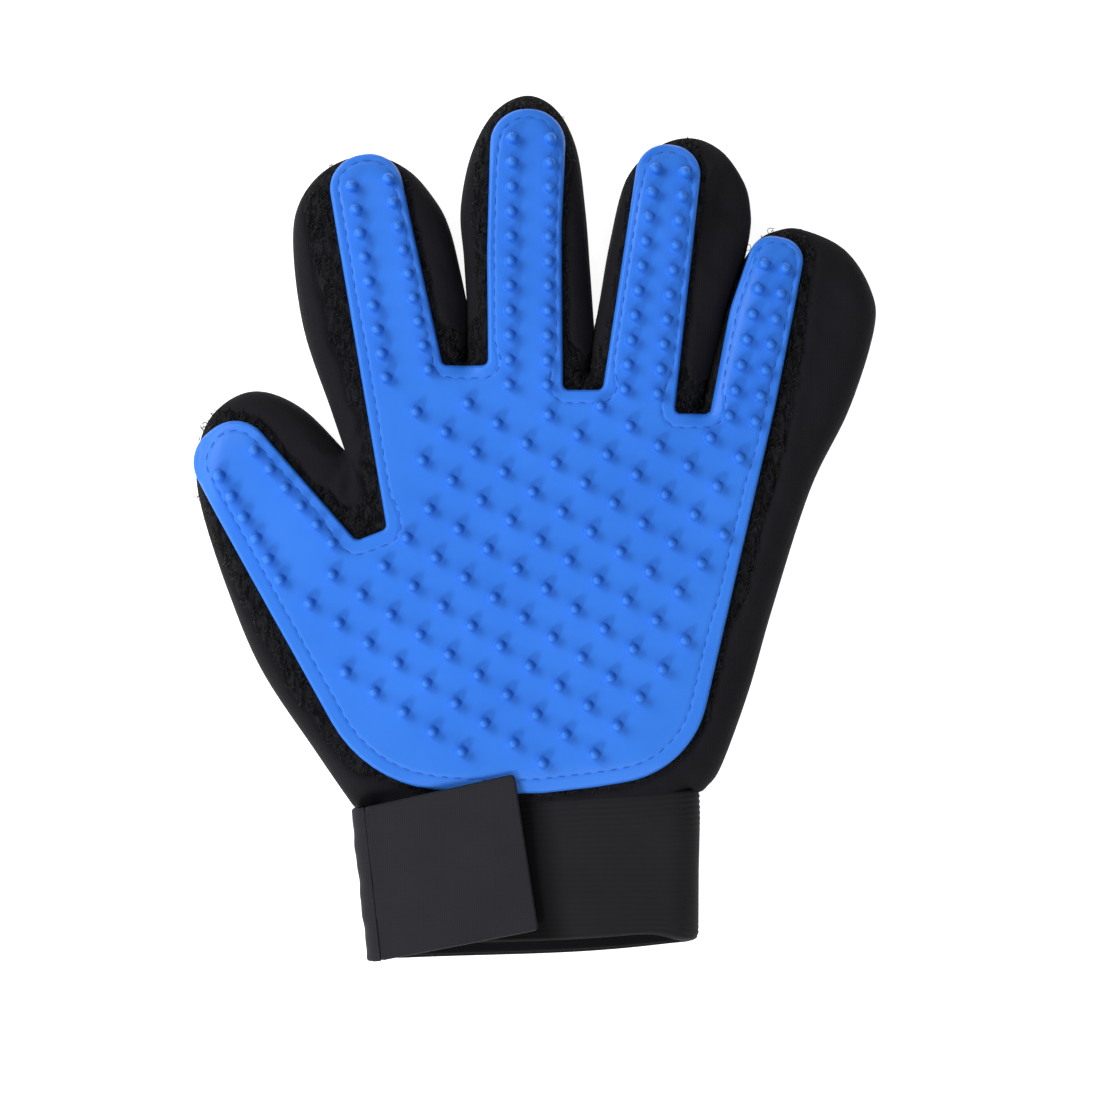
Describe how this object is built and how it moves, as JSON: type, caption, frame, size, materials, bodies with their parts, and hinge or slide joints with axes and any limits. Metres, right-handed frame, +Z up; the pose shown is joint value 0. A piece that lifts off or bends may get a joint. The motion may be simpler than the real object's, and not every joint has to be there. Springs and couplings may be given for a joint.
{
  "type": "grooming glove",
  "caption": "Left-hand pet grooming glove: hollow fabric shell with a nubbed silicone pad on palm and digits, bending digits, and an elastic wrist band closed by a peel-up tab.",
  "frame": {"origin": "middle of the surface that the glove lies on, centred in length and width", "axes": "+Y towards the fingertips, +X towards the little finger, +Z up out of the palm side, which carries the nubs"},
  "size_m": [0.1843, 0.2351, 0.0225],
  "materials": {
    "silicone": "satin moulded silicone",
    "spacer_mesh": "fuzzy black spacer mesh",
    "knit": "smooth black knit",
    "elastic": "ribbed black elastic webbing",
    "hem": "turned black knit",
    "tab_fabric": "smooth laminated charcoal fabric",
    "hook_tape": "black hook tape",
    "loop_pile": "black loop pile"
  },
  "bodies": {
    "palm": {"palm_pad": "silicone", "palm_mesh_panel": "spacer_mesh", "palm_back_panel": "knit", "wrist_band": "elastic", "cuff_hem": "hem", "loop_patch": "loop_pile", "tab_anchor": "tab_fabric"},
    "thumb_base": {"thumb_base_pad": "silicone", "thumb_base_mesh_panel": "spacer_mesh", "thumb_base_back_panel": "knit"},
    "thumb_tip": {"thumb_tip_pad": "silicone", "thumb_tip_mesh_panel": "spacer_mesh", "thumb_tip_back_panel": "knit"},
    "index_base": {"index_base_pad": "silicone", "index_base_mesh_panel": "spacer_mesh", "index_base_back_panel": "knit"},
    "index_tip": {"index_tip_pad": "silicone", "index_tip_mesh_panel": "spacer_mesh", "index_tip_back_panel": "knit"},
    "middle_base": {"middle_base_pad": "silicone", "middle_base_mesh_panel": "spacer_mesh", "middle_base_back_panel": "knit"},
    "middle_tip": {"middle_tip_pad": "silicone", "middle_tip_mesh_panel": "spacer_mesh", "middle_tip_back_panel": "knit"},
    "ring_base": {"ring_base_pad": "silicone", "ring_base_mesh_panel": "spacer_mesh", "ring_base_back_panel": "knit"},
    "ring_tip": {"ring_tip_pad": "silicone", "ring_tip_mesh_panel": "spacer_mesh", "ring_tip_back_panel": "knit"},
    "little_base": {"little_base_pad": "silicone", "little_base_mesh_panel": "spacer_mesh", "little_base_back_panel": "knit"},
    "little_tip": {"little_tip_pad": "silicone", "little_tip_mesh_panel": "spacer_mesh", "little_tip_back_panel": "knit"},
    "tab": {"closure_tab": "tab_fabric", "hook_patch": "hook_tape"}
  },
  "joints": [
    {"name": "thumb_base_bend", "type": "hinge", "parent": "palm", "child": "thumb_base", "pos_m": [-0.06345, -0.00587, 0.0205], "axis": [0.8179, 0.5753, 0], "range_deg": [0, 60]},
    {"name": "thumb_tip_bend", "type": "hinge", "parent": "thumb_base", "child": "thumb_tip", "pos_m": [-0.07455, 0.00991, 0.0205], "axis": [0.8179, 0.5753, 0], "range_deg": [0, 70]},
    {"name": "index_base_bend", "type": "hinge", "parent": "palm", "child": "index_base", "pos_m": [-0.03513, 0.04501, 0.0205], "axis": [0.9816, 0.191, 0], "range_deg": [0, 70]},
    {"name": "index_tip_bend", "type": "hinge", "parent": "index_base", "child": "index_tip", "pos_m": [-0.04013, 0.07071, 0.0205], "axis": [0.9816, 0.191, 0], "range_deg": [0, 80]},
    {"name": "middle_base_bend", "type": "hinge", "parent": "palm", "child": "middle_base", "pos_m": [-0.00205, 0.04873, 0.0205], "axis": [0.9999, -0.0151, 0], "range_deg": [0, 70]},
    {"name": "middle_tip_bend", "type": "hinge", "parent": "middle_base", "child": "middle_tip", "pos_m": [-0.00165, 0.07521, 0.0205], "axis": [0.9999, -0.0151, 0], "range_deg": [0, 80]},
    {"name": "ring_base_bend", "type": "hinge", "parent": "palm", "child": "ring_base", "pos_m": [0.02942, 0.04692, 0.0205], "axis": [0.9913, -0.1316, 0], "range_deg": [0, 70]},
    {"name": "ring_tip_bend", "type": "hinge", "parent": "ring_base", "child": "ring_tip", "pos_m": [0.03293, 0.07336, 0.0205], "axis": [0.9913, -0.1316, 0], "range_deg": [0, 80]},
    {"name": "little_base_bend", "type": "hinge", "parent": "palm", "child": "little_base", "pos_m": [0.05593, 0.03312, 0.0205], "axis": [0.9777, -0.2099, 0], "range_deg": [0, 70]},
    {"name": "little_tip_bend", "type": "hinge", "parent": "little_base", "child": "little_tip", "pos_m": [0.06033, 0.05362, 0.0205], "axis": [0.9777, -0.2099, 0], "range_deg": [0, 80]},
    {"name": "tab_peel", "type": "hinge", "parent": "palm", "child": "tab", "pos_m": [-0.0413, -0.0945, 0.0211], "axis": [0.1084, -0.9941, 0], "range_deg": [0, 150]}
  ]
}
